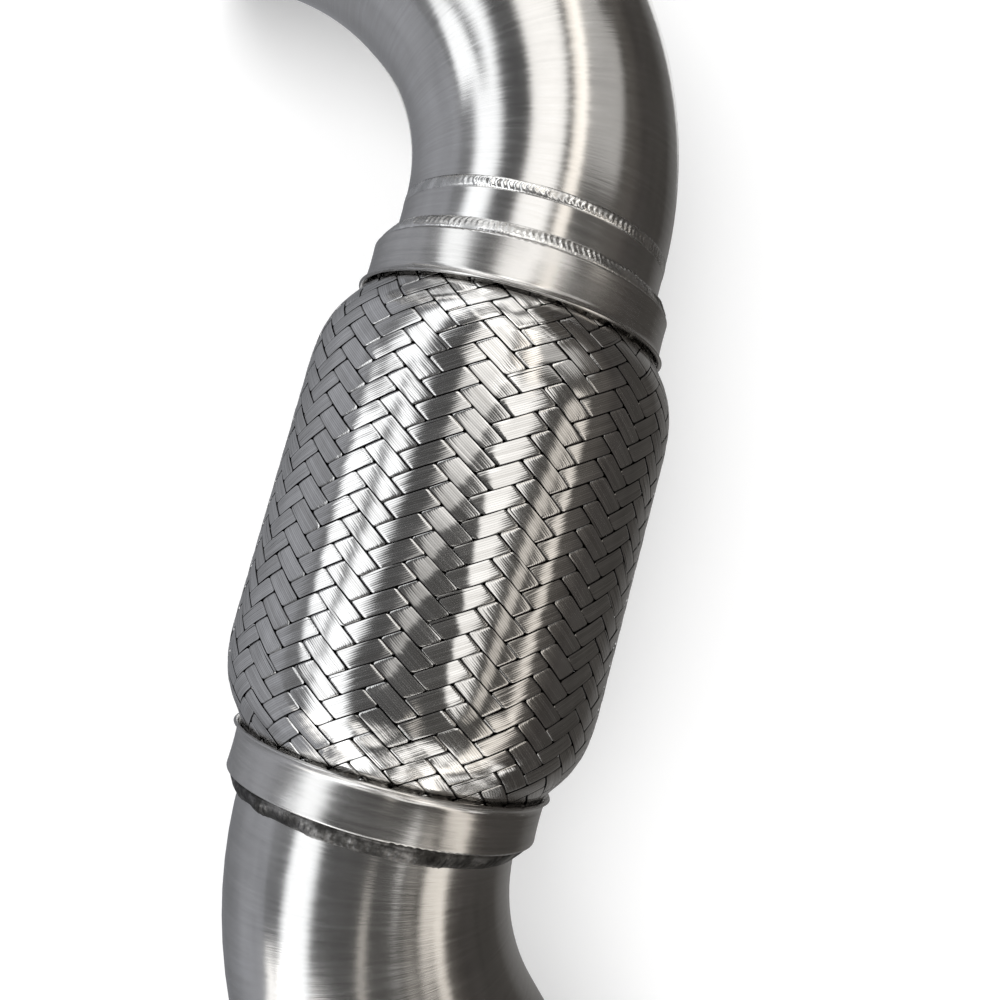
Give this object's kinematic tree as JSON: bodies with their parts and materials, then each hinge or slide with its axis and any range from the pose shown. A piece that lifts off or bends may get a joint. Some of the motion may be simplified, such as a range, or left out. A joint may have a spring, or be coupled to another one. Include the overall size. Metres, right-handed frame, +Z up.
{
  "type": "exhaust downpipe",
  "caption": "S-shaped stainless exhaust downpipe with a braided flex section between two mandrel bends and a V-band ring on each end.",
  "frame": {"origin": "centre of the inlet face", "axes": "+X runs into the pipe at the inlet, +Y is opposite to the flow in the flex section, +Z up with the pipe lying flat"},
  "size_m": [0.2204, 0.4357, 0.1018],
  "materials": {
    "pipe_steel": "brushed stainless pipe, faintly tanned",
    "turned_steel": "turned stainless",
    "collar_steel": "pressed stainless",
    "sleeve_steel": "plain stainless",
    "braid_steel": "woven stainless wire",
    "bellows_steel": "thin stainless",
    "liner_steel": "folded stainless strip",
    "weld_steel": "weld metal"
  },
  "bodies": {
    "inlet_side": {"inlet_flange": "turned_steel", "inlet_flange_weld": "weld_steel", "upper_elbow": "pipe_steel", "elbow_weld": "weld_steel", "stub_tube": "pipe_steel", "upper_collar_weld": "weld_steel", "upper_collar": "collar_steel", "upper_sleeve": "sleeve_steel", "braid": "braid_steel", "bellows": "bellows_steel", "liner": "liner_steel"},
    "outlet_side": {"lower_sleeve": "sleeve_steel", "lower_collar": "collar_steel", "lower_collar_weld": "weld_steel", "lower_elbow": "pipe_steel", "outlet_flange_weld": "weld_steel", "outlet_flange": "turned_steel"}
  },
  "joints": [
    {"name": "flex_bend", "type": "hinge", "parent": "inlet_side", "child": "outlet_side", "pos_m": [0.1189, -0.1772, 0], "axis": [0, 0, 1], "range_deg": [-8, 8], "stiffness_Nm_per_rad": 40, "deforming": ["braid", "bellows", "liner"]}
  ]
}
